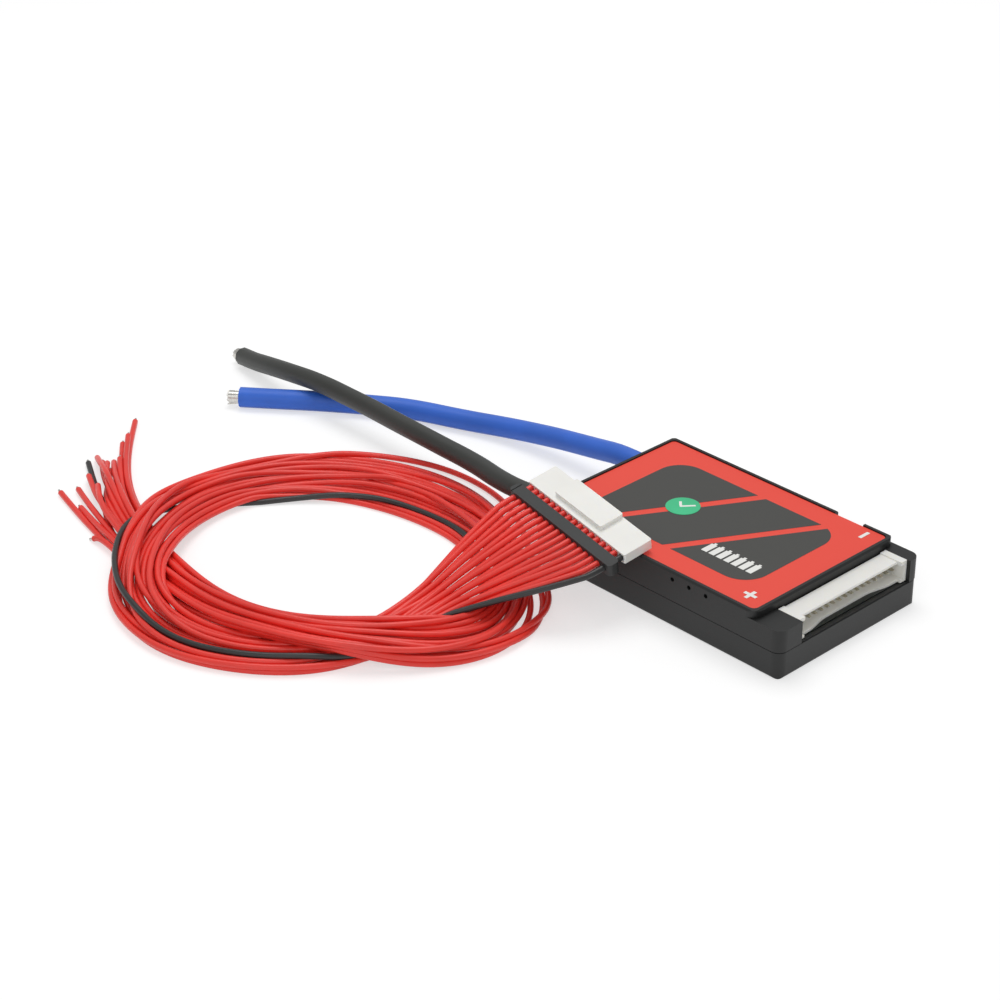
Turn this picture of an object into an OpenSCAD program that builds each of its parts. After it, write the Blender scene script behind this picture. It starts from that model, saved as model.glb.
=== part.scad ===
// Battery management board in a two-part moulded case, with its two power leads
// and its seventeen-way balance harness lying unplugged across the case.
//
// Millimetres, +Z up. The origin is at the middle of the underside of the case.
// +X points to the socket end, +Y to the long side that has the notch in its rim.

/* [Case] */
// Length of the case, along X
case_l = 92.9; // [88:0.1:110]
// Width of the case, along Y
case_w = 58.5; // [57:0.1:75]
// Thickness of the side walls
wall = 1.8; // [1.5:0.1:2.2]
// Thickness of the floor
floor_t = 1.5; // [1:0.1:2.5]
// Height of the seam between the shells
seam_z = 8.2; // [7.4:0.1:12]
// How far the lower shell stands back from the upper one
seam_inset = 0.15; // [0.05:0.05:0.3]
// Radius of the upright corners
corner_r = 3; // [2.5:0.1:4]
// Radius of the long bottom edges
edge_r = 0.8; // [0.4:0.1:1.2]
// Length of the low step at the socket end
step_l = 9.1; // [8.9:0.1:12]
// Width of the rim round the face
rim_w = 1.4; // [1.2:0.1:1.7]
// Size of the bevel on the rim's outer edge
rim_bevel = 0.5; // [0.2:0.1:0.8]
// Height of the tongue that lines up the shells
tongue_h = 1; // [0.6:0.1:1.4]
// Width of the tongue that lines up the shells
tongue_w = 0.8; // [0.6:0.1:1]
// Width and depth of the groove along the seam
seam_groove = 0.3; // [0.1:0.05:0.5]
// Clearance between pieces that slip into each other
slip = 0.1; // [0.05:0.01:0.2]

/* [Face] */
// Thickness of the heat plate
plate_t = 2.2; // [1.5:0.1:3]
// Width of the ledge that carries the heat plate
ledge_w = 2.2; // [1.8:0.1:3]
// Thickness of the ledge that carries the heat plate
ledge_t = 1.4; // [1:0.1:1.6]
// Thickness of the label
label_t = 0.3; // [0.2:0.05:0.5]
// Depth of the label's face below the rim
label_drop = 0.3; // [0.1:0.05:0.6]
// Diameter of the round check badge
badge_d = 10; // [6:0.5:12]
// Length of the notch in the rim
notch_l = 10; // [6:0.5:14]
// Middle of the notch, along X from the middle of the case
notch_x = 22; // [16:0.1:28]
// Middle one of the three sight holes, along X from the middle of the case
sight_x = 13.9; // [8:0.1:18]
// Diameter of the three sight holes
sight_d = 1.3; // [0.8:0.1:1.6]
// Distance between the sight holes
sight_pitch = 6.1; // [4:0.1:8]

/* [Board] */
// Thickness of the circuit board
board_t = 1.6; // [1:0.1:2]
// Gap between the board's edge and the walls
board_gap = 0.2; // [0.1:0.05:0.4]
// Height of a power transistor
transistor_h = 4.5; // [4:0.1:5]
// Length of a power transistor's body, along X
transistor_l = 9.2; // [8:0.1:9.4]
// Thickness of the thermal pads
pad_t = 1.5; // [0.5:0.1:2.5]
// Number of power transistors in each row
transistors = 4; // [3:1:4]
// Diameter of the screw shanks
screw_d = 2.5; // [2:0.1:3]
// Distance between the screws, along X
screw_span = 42.9; // [40:0.1:46]

/* [Socket and plug] */
// Number of ways in the socket and the plug
ways = 17; // [8:1:17]
// Distance between the ways
pitch = 2.5; // [2.5:0.04:2.54]
// Width of a square pin
pin_w = 0.64; // [0.5:0.02:0.7]
// Height of the socket housing
header_h = 6.5; // [6.3:0.1:7.5]
// Depth of the socket housing
header_d = 7.5; // [6.8:0.1:7.6]
// How far the socket's mouth lies behind the end of the case
header_setback = 1.2; // [0.5:0.1:1.2]
// Sideways shift of the socket from the middle of the case
header_y = 2.2; // [1.5:0.1:3]
// Thickness of the plug's body
plug_t = 3.1; // [2.9:0.1:3.2]
// Depth of the plug's body, along the wires
plug_d = 9.8; // [9:0.1:11]
// Height of the raised block on the plug
block_h = 1.4; // [1:0.1:1.5]
// Length of the raised block on the plug
block_l = 20.5; // [14:0.5:28]

/* [Leads and harness] */
// Outside diameter of the blue power lead
blue_d = 6.6; // [5:0.1:6.6]
// Outside diameter of the black power lead
black_d = 6.2; // [5:0.1:6.6]
// Diameter of the bare conductor in each power lead
conductor_d = 4.2; // [3:0.1:4.4]
// Outside diameter of a harness wire
wire_d = 1.6; // [1.2:0.05:1.7]

/* [Hidden] */
$fn = 48;
cut = 1; // how far a cutting shape runs past the face that it cuts

// Heights, built up from the underside of the case
board_top = seam_z + 2 * slip;
board_z = board_top - board_t;
step_z = board_top + header_h;
pad_z = board_top + transistor_h;
plate_z = pad_z + pad_t;
ledge_z = plate_z - ledge_t;
label_z = plate_z + plate_t;
label_top = label_z + label_t;
rim_z = label_top + label_drop;

// Plan sizes of the case
inner_l = case_l - 2 * wall;
inner_w = case_w - 2 * wall;
inner_r = corner_r - wall;
end_x = case_l / 2;
side_y = case_w / 2;
step_x = end_x - step_l;
face_l = case_l - step_l - 2 * rim_w;
face_w = case_w - 2 * rim_w;
face_x = -step_l / 2;
face_r = corner_r - rim_w;
window_l = face_l - 2 * ledge_w;
window_w = face_w - 2 * ledge_w;
board_l = inner_l - 2 * board_gap;
board_w = inner_w - 2 * board_gap;

// The screws clamp the heat plate, the ears of the upper shell, the board and
// the pillars of the lower shell
screw_y = side_y - 5;
screw_x = step_x - 7.9;
screw_places = [for (x = [screw_x - screw_span, screw_x], y = [-screw_y, screw_y]) [x, y]];
head_d = 2 * screw_d;
head_h = 0.6 * screw_d;
boss_d = screw_d + 3;
ear_d = boss_d + 1.5;
screw_fit = screw_d + 0.3;
screw_end = floor_t + 1;

// The socket stands on the board behind the notch in the upper shell
header_l = pitch * (ways - 1) + 4.9;
header_front = end_x - header_setback;
header_x = header_front - header_d;
header_wall = 0.95;
header_back = 1.2;
header_floor = 0.8;
header_roof = 0.7;
flange_w = 2.3;
flange_rise = 0.4;
roof_setback = 1.6;
mouth_h = header_h - header_floor - header_roof - flange_rise;
mouth_l = header_l - 2 * header_wall;
pin_z = board_top + header_floor + mouth_h / 2;
pin_tip_x = header_front - 2.4;
pin_leg_x = header_x - 1.5;

// The plug lies tilted on the rim, with its mouth over the face
plug_l = mouth_l - 2 * slip;
plug_at = [-26.2, -side_y - 2.85, rim_z + 1.6];
plug_turn = [11, 6.5, -6.2];
cavity_w = wire_d + 0.3;
terminal_w = cavity_w - 2 * slip;
terminal_start = 2.6;
wire_w = plug_t / 2;
comb_near = -6.2;
comb_far = -2.4;
comb_l = plug_l + 2.2;
comb_t = 3.8;

// Where the power leads leave the case
lead_y = 18;
lead_z = plate_z - slip - blue_d / 2;
lead_start = -inner_l / 2 + 1.6;
lead_bare = 8.5;
lead_tip = 3.5;

// Routes of the power leads from the outside of the wall: how far out, how far
// to the side of the bore, and the height above the surface
blue_route = [
  [-4, 0, 11], [-12, 0.2, 10.5], [-20, 0.2, 9.2], [-28, 0, 8], [-36, -0.4, 6.9],
  [-44, -1.2, 5.8], [-52, -2.4, 4.8], [-60, -4.3, 4], [-68, -7, 3.5], [-76, -10.2, 3.4],
  [-84, -13.4, 3.4], [-92, -17.4, 3.4], [-100, -22.8, 3.4], [-108, -28.6, 3.4],
  [-116, -34.8, 3.4], [-124, -41.4, 3.4], [-130, -46.3, 3.4], [-133.6, -49.2, 3.4]
];
black_route = [
  [-4, 0, 11], [-12, -0.3, 10.8], [-20, -0.4, 10.4], [-28, 0.5, 10], [-36, 1.8, 9.8],
  [-44, 2.5, 9.7], [-52, 2.7, 9.7], [-60, 2.8, 9.8], [-68, 2.9, 9.9], [-76, 3, 10],
  [-84, 3.2, 10.1], [-92, 3.3, 10.2], [-100, 3.3, 10.2], [-108, 3.3, 10.2],
  [-116, 3, 10], [-124, 2.9, 9.2], [-132, 3.3, 8], [-140, 3.9, 6.6], [-148, 4.9, 4.9],
  [-157, 6.4, 3.3]
];

// Route of the strand that the harness wires form: once and a half round, under
// itself where it starts and where it ends. Each point has its place, then the
// strand's underside, width and thickness in wire diameters.
loop_route = [
  [-40.2, -80, 0, 9.6, 2.3], [-40, -96.5, 0, 9.5, 2.3], [-46.3, -111, 0, 9.6, 2.3],
  [-60, -124.6, 0, 9.4, 2.3], [-78.3, -132, 0, 10, 2.3], [-95.5, -131, 0.3, 9.1, 2.3],
  [-102.5, -129.2, 2, 9.1, 2.3], [-109, -125, 2.6, 9.4, 2.3], [-118.8, -113.7, 2.7, 10.4, 2.3],
  [-129.2, -101, 2.7, 10.8, 2.3], [-136.8, -84.5, 1.6, 12.4, 2.3], [-136.6, -66.5, 0.3, 14.6, 2],
  [-129.6, -50.5, 0, 16.8, 2], [-116, -37.5, 0, 18, 2], [-99.5, -29.8, 0, 18, 2],
  [-80.9, -28.3, 0, 16.2, 2.1], [-65, -31.2, 0, 11.8, 2.5], [-53.8, -36.8, 0, 8.8, 2.9],
  [-40, -45, 0, 8.6, 2.9], [-28.8, -54, 0.1, 9.4, 2.9], [-22, -66.5, 0.7, 10, 2.6],
  [-23, -79.5, 2.2, 10.9, 2.4], [-30.6, -92, 2.7, 11.2, 2.3], [-44.1, -104, 2.8, 10.3, 2.3],
  [-60.8, -112.6, 2.7, 8.1, 2.4], [-79.6, -117, 0.3, 7.2, 2.6], [-99, -115.8, 0, 6.9, 2.5],
  [-116, -112.6, 0, 8.2, 2.3], [-131, -109, 0, 9.7, 2.3], [-143.5, -105.9, 0, 11.2, 2.3]
];
loop_steps = 3; // rings of the strand for each point of its route

// Reach of each free wire end past the loop, from its outer side to its inner side
tail_reach = [8, 18, 24, 27, 25, 21, 29, 40, 42, 39, 37, 33, 37, 39, 50, 53, 64];

// ---- Small helpers --------------------------------------------------------

// Rectangle with round corners, centred
module rounded_rect(l, w, r) {
  square([l - 2 * r, w], center = true);
  square([l, w - 2 * r], center = true);
  for (x = [-1, 1], y = [-1, 1])
    translate([x * (l / 2 - r), y * (w / 2 - r)]) circle(r);
}

// Upright block with round corners, from z0 up to z1
module block(l, w, r, z0, z1) {
  translate([0, 0, z0]) linear_extrude(z1 - z0) rounded_rect(l, w, r);
}

// Box from a low corner to a high corner
module span(a, b) {
  translate(a) cube(b - a);
}

// Long bar along X whose lower long edges are round
module round_bottomed(l, w, h, r) {
  rotate([90, 0, 90]) linear_extrude(l, center = true)
    translate([0, h]) rounded_rect(w, 2 * h, r);
}

// Long bar along X whose upper long edges are bevelled
module bevel_topped(l, w, h, c) {
  rotate([90, 0, 90]) linear_extrude(l, center = true)
    polygon([[-w / 2, 0], [w / 2, 0], [w / 2, h - c], [w / 2 - c, h], [c - w / 2, h],
      [-w / 2, h - c]]);
}

// Point on a cubic curve with four control points
function on_curve(p, t) =
  pow(1 - t, 3) * p[0] + 3 * t * pow(1 - t, 2) * p[1]
  + 3 * t * t * (1 - t) * p[2] + pow(t, 3) * p[3];

function unit(v) = v / norm(v);

// Direction of a route at its point i
function heading(route, i) =
  unit(route[min(i + 1, len(route) - 1)] - route[max(i - 1, 0)]);

// Ring of points round a route's point i, square to its heading
function ring(route, i, r, sides) =
  let (d = heading(route, i), a = unit(cross(d, [0, 0, 1])), b = cross(a, d))
  [for (k = [0:sides - 1])
    route[i] + r * (cos(360 * k / sides) * a + sin(360 * k / sides) * b)];

// Round tube swept along a route
module tube(route, d, sides = 8) {
  rings = len(route);
  r = d / 2;
  polyhedron(
    points = [for (i = [0:rings - 1]) each ring(route, i, r, sides)],
    faces = [
      [for (k = [0:sides - 1]) sides - 1 - k],
      for (i = [0:rings - 2], k = [0:sides - 1])
        let (a = i * sides + k, b = i * sides + (k + 1) % sides)
        [a, b, b + sides, a + sides],
      [for (k = [0:sides - 1]) (rings - 1) * sides + k]
    ],
    convexity = 6
  );
}

// Point between point i of a route and the next one, on a smooth line through all
function through(p, i, t) =
  let (a = p[max(i - 1, 0)], b = p[i], c = p[i + 1], d = p[min(i + 2, len(p) - 1)])
  b + 0.5 * t * (c - a + t * (2 * a - 5 * b + 4 * c - d + t * (3 * b - a - 3 * c + d)));

// Flat strand with round edges swept along a line of places, undersides, widths
// and thicknesses; it never banks
module strand(line, sides = 12) {
  rings = len(line);
  middle = [for (p = line) [p[0], p[1], (max(p[2], 0) + p[4] / 2) * wire_d]];
  polyhedron(
    points = [for (i = [0:rings - 1]) let (
      d = heading(middle, i), a = unit([d[1], -d[0], 0]), w = line[i][3] * wire_d / 2,
      h = line[i][4] * wire_d / 2)
      for (k = [0:sides - 1]) let (x = cos(360 * (k + 0.5) / sides), z = sin(360 * (k + 0.5) / sides))
        middle[i] + w * sign(x) * pow(abs(x), 0.6) * a
          + [0, 0, h * sign(z) * pow(abs(z), 0.6) / pow(cos(180 / sides), 0.6)]],
    faces = [
      [for (k = [0:sides - 1]) sides - 1 - k],
      for (i = [0:rings - 2], k = [0:sides - 1])
        let (a = i * sides + k, b = i * sides + (k + 1) % sides)
        [a, b, b + sides, a + sides],
      [for (k = [0:sides - 1]) (rings - 1) * sides + k]
    ],
    convexity = 8
  );
}

// Place of a point of the plug, after the plug is turned and moved
function turned(p) =
  let (a = plug_turn[0], b = plug_turn[1], c = plug_turn[2],
    x1 = [p[0], p[1] * cos(a) - p[2] * sin(a), p[1] * sin(a) + p[2] * cos(a)],
    x2 = [x1[0] * cos(b) + x1[2] * sin(b), x1[1], x1[2] * cos(b) - x1[0] * sin(b)])
  [x2[0] * cos(c) - x2[1] * sin(c), x2[0] * sin(c) + x2[1] * cos(c), x2[2]];
function plug_point(p) = plug_at + turned(p);
function way_u(i) = (i - (ways - 1) / 2) * pitch;

module plug_place() {
  translate(plug_at) rotate(plug_turn) children();
}

// Cylinder that starts at a point and runs along a direction
module rod(at, d, diameter, length) {
  translate(at) rotate([0, acos(d[2]), atan2(d[1], d[0])]) cylinder(d = diameter, h = length);
}

// ---- Case ------------------------------------------------------------------

// Bores in the end wall that the power leads come out of
module lead_bores() {
  for (lead = [[lead_y, blue_d], [-lead_y, black_d]])
    translate([-end_x - cut, lead[0], lead_z]) rotate([0, 90, 0])
      cylinder(d = lead[1] + 2 * slip, h = wall + 2 * cut);
}

// Room for the socket, from z0 up to z1 and out through the end
module header_room(z0, z1) {
  half = header_l / 2 + slip;
  span([step_x, header_y - half, z0], [end_x + cut, header_y + half, z1]);
}

// Posts under the board beside the socket
module header_posts() {
  for (y = [-1, 1])
    translate([header_x + 2, header_y + y * (header_l / 2 - 5), floor_t - cut / 2])
      cylinder(d = 3.2, h = board_z - floor_t + cut / 2);
}

// Pillar that a screw bites into
module pillar() {
  difference() {
    translate([0, 0, floor_t - cut / 2]) cylinder(d = boss_d, h = board_z - floor_t + cut / 2);
    translate([0, 0, screw_end - cut / 2]) cylinder(d = screw_d + slip, h = board_z);
  }
}

module lower_shell() color("#2B2B29") {
  out_l = case_l - 2 * seam_inset;
  out_w = case_w - 2 * seam_inset;
  tongue_top = seam_z + tongue_h;
  difference() {
    union() {
      intersection() {
        block(out_l, out_w, corner_r - seam_inset, 0, seam_z - seam_groove);
        round_bottomed(case_l, out_w, seam_z + cut, edge_r);
        rotate(90) round_bottomed(case_w, out_l, seam_z + cut, edge_r);
      }
      block(out_l - 2 * seam_groove, out_w - 2 * seam_groove,
        corner_r - seam_inset - seam_groove, floor_t, seam_z);
      difference() {
        block(inner_l + 2 * tongue_w, inner_w + 2 * tongue_w, inner_r + tongue_w,
          seam_z - cut, tongue_top);
        header_room(seam_z, tongue_top + cut);
      }
    }
    block(inner_l, inner_w, inner_r, floor_t, tongue_top + cut);
    lead_bores();
  }
  for (p = screw_places) translate(p) pillar();
  header_posts();
}

// Low body and raised body of the upper shell, before they are hollowed
module upper_form() {
  raised_l = case_l - step_l;
  block(case_l, case_w, corner_r, seam_z, step_z);
  translate([face_x, 0, 0]) intersection() {
    block(raised_l, case_w, corner_r, seam_z, rim_z);
    bevel_topped(raised_l, case_w, rim_z, rim_bevel);
    rotate(90) bevel_topped(case_w, raised_l, rim_z, rim_bevel);
  }
}

// Notch in the far rim that a sensor wire passes through
module rim_notch() {
  span([notch_x - notch_l / 2, side_y - rim_w - cut, step_z],
    [notch_x + notch_l / 2, side_y + cut, rim_z + cut]);
}

// Small sight holes in the near wall
module sight_holes() {
  for (i = [-1:1])
    translate([sight_x + i * sight_pitch, -side_y - cut, step_z]) rotate([-90, 0, 0])
      cylinder(d = sight_d, h = rim_w + cut - 2 * slip);
}

module upper_shell() color("#2E2E2C") {
  fit_w = tongue_w + slip;
  difference() {
    union() {
      difference() {
        upper_form();
        block(inner_l, inner_w, inner_r, seam_z - cut, ledge_z);
        block(inner_l + 2 * fit_w, inner_w + 2 * fit_w, inner_r + tongue_w,
          seam_z - cut, seam_z + tongue_h + slip);
        translate([face_x, 0, 0]) {
          block(window_l, window_w, face_r, ledge_z - cut, plate_z + cut);
          block(face_l, face_w, face_r, plate_z, rim_z + cut);
        }
      }
      for (p = screw_places) translate(p) {
        translate([0, 0, board_top]) cylinder(d = boss_d, h = plate_z - board_top);
        translate([0, 0, ledge_z]) cylinder(d = ear_d, h = ledge_t);
      }
    }
    for (p = screw_places) translate([p[0], p[1], seam_z - cut])
      cylinder(d = screw_fit, h = rim_z);
    header_room(seam_z - cut, rim_z + cut);
    lead_bores();
    rim_notch();
    sight_holes();
  }
}

// ---- Face ------------------------------------------------------------------

module heat_plate() color("#B9BBBD") difference() {
  translate([face_x, 0, 0])
    block(face_l - 2 * slip, face_w - 2 * slip, face_r - slip, plate_z, label_z);
  for (p = screw_places) translate([p[0], p[1], plate_z]) {
    translate([0, 0, -cut]) cylinder(d = screw_fit, h = plate_t + 2 * cut);
    translate([0, 0, plate_t - head_h]) cylinder(d1 = screw_fit, d2 = head_d + 2 * slip, h = head_h);
    translate([0, 0, plate_t - slip / 2]) cylinder(d = head_d + 2 * slip, h = cut);
  }
}

// Countersunk screw with a cross recess, its point on the pillar's floor side
module plate_screw() {
  head_top = label_z - slip / 2;
  difference() {
    union() {
      translate([0, 0, screw_end]) cylinder(d = screw_d, h = head_top - screw_end);
      translate([0, 0, head_top - head_h]) cylinder(d1 = screw_d, d2 = head_d, h = head_h);
    }
    for (turn = [0, 90]) rotate(turn)
      span([-head_d / 4, -0.25, head_top - head_h / 2], [head_d / 4, 0.25, head_top + cut]);
  }
}

module plate_screws() color("#C8C9CB") {
  for (p = screw_places) translate(p) plate_screw();
}

// Dark field of the label's print, crossed by two slanted bands
module dark_field() {
  difference() {
    rounded_rect(0.76 * face_l, 0.72 * face_w, 8);
    for (x = [-0.13, 0.16]) translate([x * face_l, 0]) rotate(-30)
      square([2.6, 2 * face_w], center = true);
  }
}

module face_label() color("#F25C44") {
  print_t = 0.05;
  translate([face_x, 0, 0]) {
    block(face_l - 4 * slip, face_w - 4 * slip, face_r - 2 * slip, label_z, label_top - print_t);
    translate([0, 0, label_z]) linear_extrude(label_t) dark_field();
  }
}

module check_badge() color("#3DCB8A") {
  translate([face_x - 11, 0, label_top]) cylinder(d = badge_d, h = 0.1);
}

// ---- Board and what it carries ---------------------------------------------

// The two rows stand between the lead joints and the control parts, and inside
// the ears that the screws pass through
part_gap = 0.7;
row_w = 2 * (screw_y - ear_d / 2) - 2 * slip;
row_pitch = row_w / transistors;
body_w = row_pitch - 0.4;
tab_l = 1.6;
chip_l = 7.5;
chip_w = 10;
chip_legs = 15; // on each side
chip_leg = 1.2; // reach of a leg past the chip's body
discharge_x = lead_start + lead_bare + part_gap + tab_l + transistor_l / 2;
control_x = screw_x - 15;
charge_x = control_x - chip_l / 2 - chip_leg - 3 * part_gap - tab_l - transistor_l / 2;

module circuit_board() color("#1E2422") difference() {
  block(board_l, board_w, inner_r - board_gap, board_z, board_top);
  for (p = screw_places) translate([p[0], p[1], board_z - cut])
    cylinder(d = screw_fit, h = board_t + 2 * cut);
  for (i = [0:ways - 1]) translate([pin_leg_x, header_y + way_u(i), board_z - cut])
    cylinder(d = pin_w + 0.36, h = board_t + 2 * cut, $fn = 16);
  for (y = [-lead_y, lead_y])
    span([-board_l / 2 - cut, y - blue_d / 2 - 2 * slip, board_z - cut],
      [lead_start + 2 * slip, y + blue_d / 2 + 2 * slip, board_top + cut]);
}

// Power transistor lying flat, its leads towards +X
module transistor() {
  lead_t = 0.5;
  tab_t = 1.3;
  rotate([90, 0, 0]) linear_extrude(body_w, center = true)
    polygon([[-transistor_l / 2, 0], [transistor_l / 2, 0], [transistor_l / 2, transistor_h - 0.6],
      [transistor_l / 2 - 0.4, transistor_h], [0.4 - transistor_l / 2, transistor_h],
      [-transistor_l / 2, transistor_h - 0.6]]);
  span([-transistor_l / 2 - tab_l, 0.6 - body_w / 2, 0], [-transistor_l / 2, body_w / 2 - 0.6, tab_t]);
  for (y = [-1, 1]) translate([transistor_l / 2, y * 2.54, 0]) rotate([90, 0, 0])
    linear_extrude(0.8, center = true)
      polygon([[0, 2], [1.2, 2], [2.2, 0], [4.6, 0], [4.6, lead_t], [2.5, lead_t],
        [1.5, 2 + lead_t], [0, 2 + lead_t]]);
}

module transistor_row() {
  for (i = [0:transistors - 1])
    translate([0, (i - (transistors - 1) / 2) * row_pitch, board_top]) transistor();
}

module discharge_transistors() color("#232426") {
  translate([discharge_x, 0, 0]) transistor_row();
}

module charge_transistors() color("#232426") {
  translate([charge_x, 0, 0]) mirror([1, 0, 0]) transistor_row();
}

module thermal_pads() color("#8FA3B8") {
  half = row_w / 2;
  for (x = [discharge_x, charge_x])
    span([x - transistor_l / 2, -half, pad_z], [x + transistor_l / 2, half, plate_z]);
}

// Low resistors that the current is measured over, between the lead joints
shunt_l = 5.2;
shunt_w = 3;
module shunt_resistors() color("#4A4A4A") {
  x0 = discharge_x - transistor_l / 2 - tab_l - part_gap - shunt_l / 2 - part_gap;
  for (i = [-1:1]) translate([x0, i * (shunt_w + 2 * part_gap), board_top]) {
    block(shunt_l, shunt_w, 0.3, 0.2, 0.9);
    for (x = [-1, 1]) translate([x * (shunt_l / 2 + 0.3), 0, 0]) block(1.2, shunt_w + 0.2, 0.2, 0, 1);
  }
}

// Chip with a row of bent legs on each long side
module monitor_chip() color("#1D1E20") {
  leg_pitch = chip_w / (chip_legs + 0.4);
  translate([control_x, header_y, board_top]) {
    block(chip_l, chip_w, 0.3, 0.15, 1.75);
    for (i = [0:chip_legs - 1], x = [-1, 1])
      translate([x * (chip_l + chip_leg) / 2, (i - (chip_legs - 1) / 2) * leg_pitch, 0.1])
        cube([chip_leg + 0.4, leg_pitch / 2, 0.2], center = true);
  }
}

// One balance resistor for each cell, in two columns between the screws
resistor_l = 2.4;
module balance_resistors() color("#1B1B1B") {
  cells = ways - 1;
  rows = ceil(cells / 2);
  y_pitch = row_w / (rows + 1);
  for (i = [0:cells - 1])
    translate([screw_x + (i % 2 - 0.5) * 2 * resistor_l - part_gap,
      (floor(i / 2) - (rows - 1) / 2) * y_pitch, board_top]) {
      block(resistor_l, resistor_l, 0.1, 0, 0.6);
      for (x = [-1, 1]) translate([x * (resistor_l / 2 + 0.2), 0, 0])
        block(0.4, resistor_l + 0.1, 0.05, 0, 0.65);
    }
}

// Two cans near each long side
can_d = 5;
module filter_capacitors() color("#BFC3C8") {
  can_h = transistor_h + pad_t - 0.6;
  base = can_d + 0.3;
  for (side = [-1, 1], i = [0, 1])
    translate([control_x, side * (inner_w / 2 - base - i * (base + 2 * part_gap)), board_top]) {
      block(base, base, 0.8, 0, 0.8);
      cylinder(d = can_d, h = can_h);
    }
}

// Solder that holds the bare conductors down on the board
module lead_solder() color("#C4C6C8") {
  for (y = [-lead_y, lead_y]) difference() {
    translate([lead_start + 1, y, board_top]) rotate([90, 0, 90]) linear_extrude(lead_bare - 2)
      polygon([[-3.4, 0], [3.4, 0], [conductor_d / 2, lead_z - board_top],
        [-conductor_d / 2, lead_z - board_top]]);
    translate([lead_start, y, lead_z]) rotate([0, 90, 0]) cylinder(d = conductor_d, h = lead_bare);
  }
}

// ---- Socket ----------------------------------------------------------------

// Front edge of the socket's lower wall: set back in the middle, in one wave
function ease(t) = t * t * (3 - 2 * t);
function lip_setback(s) = 1 + 1.5 * ease(min(1, max(0, (header_l / 2 - 5 - abs(s)) / 9)));

module header_housing() color("#F4F4F2") {
  inner_half = mouth_l / 2;
  lip_half = header_l / 2 - flange_w;
  steps = 24;
  translate([0, header_y, 0]) difference() {
    span([header_x, -header_l / 2, board_top], [header_front, header_l / 2, step_z]);
    // mouth
    span([header_x + header_back, -inner_half, board_top + header_floor],
      [header_front + cut, inner_half, board_top + header_floor + mouth_h]);
    // roof between the end flanges: lower than they are, and set back
    span([header_x - cut, -lip_half, step_z - flange_rise], [header_front + cut, lip_half, step_z + cut]);
    span([header_front - roof_setback, -lip_half, pin_z], [header_front + cut, lip_half, step_z + cut]);
    // floor between the end flanges, with its wavy front edge
    translate([0, 0, board_top - cut]) linear_extrude(cut + header_floor + mouth_h / 4)
      polygon([
        [header_front + cut, -lip_half], [header_front + cut, lip_half],
        for (i = [steps:-1:0]) let (s = (2 * i / steps - 1) * lip_half)
          [header_front - lip_setback(s), s]
      ]);
    // holes that the pins are pressed into
    for (i = [0:ways - 1]) translate([header_x + header_back / 2, way_u(i), pin_z])
      cube([header_back + 2 * cut, pin_w, pin_w], center = true);
  }
}

// Bent square pin: along the mouth, then down through the board
module pin() {
  half = pin_w / 2;
  foot_z = board_z - 1;
  rotate([90, 0, 0]) linear_extrude(pin_w, center = true)
    polygon([[pin_leg_x - half, foot_z], [pin_leg_x + half, foot_z],
      [pin_leg_x + half, pin_z - half], [pin_tip_x - pin_w, pin_z - half],
      [pin_tip_x, pin_z - half / 3], [pin_tip_x, pin_z + half / 3],
      [pin_tip_x - pin_w, pin_z + half], [pin_leg_x, pin_z + half],
      [pin_leg_x - half, pin_z]]);
}

module header_pins() color("#D9D7CF") {
  for (i = [0:ways - 1]) translate([0, header_y + way_u(i), 0]) pin();
}

// ---- Plug and comb -----------------------------------------------------------

module plug_housing() color("#F5F5F1") plug_place() difference() {
  union() {
    translate([0, plug_d / 2, 0]) block(plug_l, plug_d, 0.6, 0, plug_t);
    translate([-1.2, (plug_d + 1.8) / 2, 0])
      block(block_l, plug_d - 1.8, 0.5, plug_t - cut, plug_t + block_h);
  }
  for (i = [0:ways - 1]) translate([way_u(i), 0, wire_w]) {
    span([-cavity_w / 2, -cut, -cavity_w / 2], [cavity_w / 2, plug_d - 0.8, cavity_w / 2]);
    span([-pin_w * 0.7, plug_d - cut, -pin_w * 0.7], [pin_w * 0.7, plug_d + cut, pin_w * 0.7]);
  }
}

// Crimped socket contacts inside the plug
module plug_terminals() color("#C9B27A") plug_place() {
  half = terminal_w / 2;
  for (i = [0:ways - 1]) translate([way_u(i), terminal_start, wire_w]) difference() {
    span([-half, 0, -half], [half, plug_d - 0.8 - slip - terminal_start, half]);
    span([-pin_w / 2 - slip, cut, -pin_w / 2 - slip], [pin_w / 2 + slip, plug_d, pin_w / 2 + slip]);
  }
}

// Bar that keeps the wires side by side
module wire_comb() color("#2F302F") plug_place() difference() {
  translate([0, (comb_near + comb_far) / 2, 0])
    block(comb_l, comb_far - comb_near, 1.3, wire_w - comb_t / 2, wire_w + comb_t / 2);
  for (i = [0:ways - 1]) translate([way_u(i), comb_near - cut, wire_w]) rotate([-90, 0, 0])
    cylinder(d = wire_d + 2 * slip, h = comb_far - comb_near + 2 * cut);
  translate([-comb_l / 2 + 1.2, comb_near - cut, wire_w + comb_t / 2 - 0.3])
    cube([0.3, comb_far - comb_near + 2 * cut, 1]);
}

// ---- Power leads -------------------------------------------------------------

// Route of a lead from inside the wall; its points count from the bore's mouth
function lead_route(y, points) =
  concat([[lead_start, y, lead_z]], [for (p = points) p + [-end_x, y, 0]]);
blue_line = lead_route(lead_y, blue_route);
black_line = lead_route(-lead_y, black_route);

// Bare ends of a lead's conductor, on the board and at the free end
module conductor(line) {
  last = len(line) - 1;
  translate(line[0]) rotate([0, 90, 0]) cylinder(d = conductor_d, h = lead_bare);
  rod(line[last], heading(line, last), conductor_d, lead_tip);
}

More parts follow.
